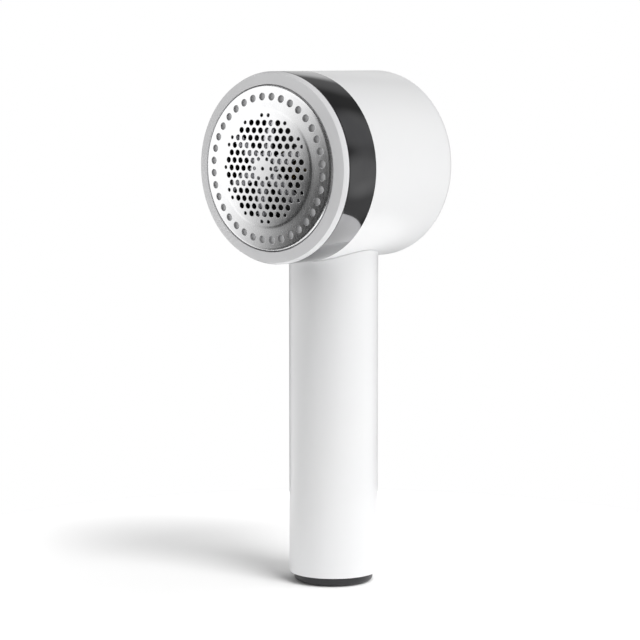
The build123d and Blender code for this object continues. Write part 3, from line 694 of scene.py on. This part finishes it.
def on_back(height):
    """Placing rule round an axis along Y: `along` is measured from the handle's curved surface.

    Parts deeper than 3 mm, such as the button's flange, are flat.
    """
    def place(r, along, angle):
        x = r * MM * math.sin(angle)
        bend = x if along > -3 else 0.0
        y = math.sqrt((HANDLE_R + along * MM) ** 2 - bend**2)
        return Vector((x, y, height + r * MM * math.cos(angle)))
    return place


def button_parts():
    """Metal ring, push button with its flange, and the indicator's lens."""
    hole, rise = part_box("button_trim")[1].x / MM, 0.3
    turned_piece("button_ring", [
        (5.85, -1.75, 0), (5.85, rise, 0.25), (hole, rise, 0.28), (hole, -1.75, 0),
    ], "body", "trim_metal", "button_trim", on_back(BUTTON_Z), 160)
    turned_piece("push_button", [
        (0, 1.0, 0), (3.6, 0.86, 1.5), (5.5, 0.98, 0.45), (5.5, -3.9, 0), (6.3, -3.9, 0), (6.3, -4.6, 0),
        (4.7, -4.6, 0), (4.7, -1.3, 0.3), (0, -1.3, 0),
    ], "button", "button_grey", "power_button", on_back(BUTTON_Z), 160)
    turned_piece("charge_lens", [
        (0, 0.1, 0), (1.3, 0.02, 0.15), (1.3, -2.9, 0), (0, -2.9, 0),
    ], "body", "lens", "indicator_lens", on_back(LENS_Z), 64)


def foot_pad():
    """Rubber ring with two shallow grooves in its sole."""
    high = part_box("foot_pad")[1]
    turned_piece("rubber_foot", [
        (6.6, 0, 0.3), (7.9, 0, 0.1), (8.0, 0.25, 0.08), (8.5, 0.25, 0.08), (8.6, 0, 0.1), (9.3, 0, 0.1),
        (9.4, 0.25, 0.08), (9.9, 0.25, 0.08), (10.0, 0, 0.1), (high.x / MM, 0, 0.3),
        (high.x / MM, high.z / MM, 0.1), (6.6, high.z / MM, 0.1),
    ], "body", "rubber_black", "foot_pad", on_handle, 192)


foil_guard()
foil_carrier()
bezel_ring()
trim_band()
head_shell()
bin_lid()
handle_tube()
button_parts()
foot_pad()

# ------------------------------------------------------------------ camera, light and floor


def aim(thing, place, target):
    """Puts a thing in place and turns its -Z towards the target."""
    thing.location = place
    thing.rotation_euler = (Vector(target) - Vector(place)).to_track_quat("-Z", "Y").to_euler()


def direction(azimuth, elevation):
    """Unit vector from the object towards an azimuth (0 is -Y, 90 is +X) and elevation, in degrees."""
    a, e = math.radians(azimuth), math.radians(elevation)
    return Vector((math.sin(a) * math.cos(e), -math.cos(a) * math.cos(e), math.sin(e)))


def make_camera():
    """Long lens on one side of the cutting face, a little raised, aimed slightly past the handle's axis."""
    azimuth, elevation, distance, height, shift_left = 40.02, 6.134, 0.8262, 0.08902, 0.004588
    data = bpy.data.cameras.new("camera")
    data.sensor_width, data.lens = 36.0, 137.62
    data.clip_start, data.clip_end = 0.05, 20.0
    camera = bpy.data.objects.new("camera", data)
    bpy.context.scene.collection.objects.link(camera)
    right = Vector((math.cos(math.radians(azimuth)), math.sin(math.radians(azimuth)), 0))
    target = Vector((0, 0, height)) - right * shift_left
    aim(camera, target + direction(azimuth, elevation) * distance, target)
    bpy.context.scene.camera = camera


def make_light(name, azimuth, elevation, distance, size, watts):
    """Soft round light. It leaves no glint: reflections come from the surroundings and the card."""
    data = bpy.data.lights.new(name, "AREA")
    data.shape, data.size, data.energy = "DISK", size, watts
    light = bpy.data.objects.new(name, data)
    bpy.context.scene.collection.objects.link(light)
    light.visible_glossy = False
    target = Vector((0, 0, 0.09))
    aim(light, target + direction(azimuth, elevation) * distance, target)
    return light


# Lights: name, azimuth and elevation in degrees, distance and size in metres, watts.
LIGHTS = [("top", 78, 60, 1.3, 0.55, 2.4), ("side", 100, 30, 1.3, 0.55, 1.85)]
FLOOR_LIGHTS = [("floor_key", 78, 38, 1.3, 0.8, 21.0), ("floor_back", 150, 60, 1.3, 1.0, 6.5)]

# Surroundings: an even level and soft patches, first for shading and then for reflections. A patch has its
# centre (azimuth, elevation), the cosines at which it starts and is full, and its strength.
AMBIENT = 0.54
PATCHES = [
    ((110, 0), 0.64, 0.97, 0.92),
]
MIRROR_AMBIENT = 0.082
MIRROR_PATCHES = [
    ((-141, 12), 0.93, 0.9945, 0.63),
    ((-152, 32), 0.93, 0.9945, 0.14),
    ((150, 26), 0.93, 0.9945, 0.19),
    ((140, -6), 0.93, 0.9945, 0.24),
    ((151, -28), 0.93, 0.9945, 0.1),
    ((62, -8), 0.955, 0.99, 0.25),
]


def sum_of_patches(tree, ambient, patches):
    """Socket with the brightness of the surroundings in each direction."""
    coordinates = tree.nodes.new("ShaderNodeTexCoord")
    total = tree.nodes.new("ShaderNodeValue")
    total.outputs[0].default_value = ambient
    level = total.outputs[0]
    for (azimuth, elevation), start, full, strength in patches:
        dot = tree.nodes.new("ShaderNodeVectorMath")
        dot.operation = "DOT_PRODUCT"
        dot.inputs[1].default_value = direction(azimuth, elevation)
        tree.links.new(coordinates.outputs["Generated"], dot.inputs[0])
        ramp = tree.nodes.new("ShaderNodeMapRange")
        ramp.interpolation_type = "SMOOTHSTEP"
        for name, number in (("From Min", start), ("From Max", full), ("To Max", strength)):
            ramp.inputs[name].default_value = number
        tree.links.new(dot.outputs["Value"], ramp.inputs["Value"])
        add = tree.nodes.new("ShaderNodeMath")
        tree.links.new(level, add.inputs[0])
        tree.links.new(ramp.outputs["Result"], add.inputs[1])
        level = add.outputs[0]
    return level


def make_world():
    """White behind the object, one set of patches for shading and another for reflections."""
    world = bpy.data.worlds.new("studio")
    bpy.context.scene.world = world
    world.use_nodes = True
    tree = world.node_tree
    tree.nodes.clear()
    output = tree.nodes.new("ShaderNodeOutputWorld")
    path = tree.nodes.new("ShaderNodeLightPath")
    shown = None
    for ray, ambient, patches in (
        (None, AMBIENT, PATCHES),
        ("Is Glossy Ray", MIRROR_AMBIENT, MIRROR_PATCHES),
        ("Is Camera Ray", 1.0, []),
    ):
        background = tree.nodes.new("ShaderNodeBackground")
        background.inputs["Color"].default_value = (1, 1, 1, 1)
        tree.links.new(sum_of_patches(tree, ambient, patches), background.inputs["Strength"])
        if ray is None:
            shown = background.outputs[0]
            continue
        mix = tree.nodes.new("ShaderNodeMixShader")
        tree.links.new(path.outputs[ray], mix.inputs["Fac"])
        tree.links.new(shown, mix.inputs[1])
        tree.links.new(background.outputs[0], mix.inputs[2])
        shown = mix.outputs[0]
    tree.links.new(shown, output.inputs["Surface"])


CARD_DISTANCE, CARD_HALF = 0.09, 0.25
CARD_SIDE = (-39.98, -6.13)  # azimuth and elevation of the card from the foil
CARD_ACROSS, CARD_DOWN = 928.0, 707.0  # growth of the gradient's value along the card and down it, per metre
CARD_BRIGHT, CARD_DARK = 1.3, 0.03
CARD_FROM, CARD_TO = -24.0, 44.0  # values of the gradient at its bright and its dark end


def make_card():
    """Card beside the foil, graded from bright up on the left to dark down on the right.

    Only reflections see it.
    """
    bm = bmesh.new()
    bmesh.ops.create_grid(bm, x_segments=1, y_segments=1, size=CARD_HALF)
    mesh = bpy.data.meshes.new("card")
    bm.to_mesh(mesh)
    bm.free()
    card = bpy.data.objects.new("card", mesh)
    bpy.context.scene.collection.objects.link(card)
    foil = Vector((0, FOIL_APEX, HEAD_Z))
    aim(card, foil + direction(*CARD_SIDE) * CARD_DISTANCE, foil)
    card.visible_camera = card.visible_diffuse = card.visible_shadow = card.visible_transmission = False
    material = bpy.data.materials.new("card")
    material.use_nodes = True
    tree = material.node_tree
    tree.nodes.clear()
    output, glow = tree.nodes.new("ShaderNodeOutputMaterial"), tree.nodes.new("ShaderNodeEmission")
    coordinates, dot = tree.nodes.new("ShaderNodeTexCoord"), tree.nodes.new("ShaderNodeVectorMath")
    dot.operation = "DOT_PRODUCT"
    dot.inputs[1].default_value = (CARD_ACROSS, -CARD_DOWN, 0.0)
    ramp = tree.nodes.new("ShaderNodeMapRange")
    numbers = {"From Min": CARD_FROM, "From Max": CARD_TO, "To Min": CARD_BRIGHT, "To Max": CARD_DARK}
    for name, number in numbers.items():
        ramp.inputs[name].default_value = number
    tree.links.new(coordinates.outputs["Object"], dot.inputs[0])
    tree.links.new(dot.outputs["Value"], ramp.inputs["Value"])
    tree.links.new(ramp.outputs["Result"], glow.inputs["Strength"])
    tree.links.new(glow.outputs[0], output.inputs["Surface"])
    card.data.materials.append(material)


FLOOR_R = 0.172
GLOW_NEAR, GLOW_EDGE = 0.03, 0.3
GLOW_FROM, GLOW_TO = 90.0, 165.0  # radii in mm between which the floor's glow grows


def make_floor():
    """Pale disc, which glows a little towards its edge so that it runs out into the white behind it."""
    bm = bmesh.new()
    bmesh.ops.create_circle(bm, cap_ends=True, segments=160, radius=FLOOR_R)
    mesh = bpy.data.meshes.new("floor")
    bm.to_mesh(mesh)
    bm.free()
    floor = bpy.data.objects.new("floor", mesh)
    bpy.context.scene.collection.objects.link(floor)
    finish = Finish("floor", (0.62, 0.62, 0.62), 0.9, Specular_IOR_Level=0.0, Emission_Color=(1, 1, 1, 1))
    distance = finish.node("ShaderNodeVectorMath", operation="LENGTH")
    finish.link(finish.mm, distance.inputs[0])
    glow = finish.ramp(distance.outputs["Value"], GLOW_FROM, GLOW_TO, GLOW_NEAR, GLOW_EDGE)
    finish.link(glow, finish.shader.inputs["Emission Strength"])
    floor.data.materials.append(finish.material)
    return floor


make_camera()
make_world()
floor = make_floor()
make_card()
for settings in LIGHTS:
    make_light(*settings)
lit = bpy.data.collections.new("lit_by_floor_lights")
lit.objects.link(floor)
for settings in FLOOR_LIGHTS:
    make_light(*settings).light_linking.receiver_collection = lit
bpy.context.scene.view_settings.view_transform = "Standard"
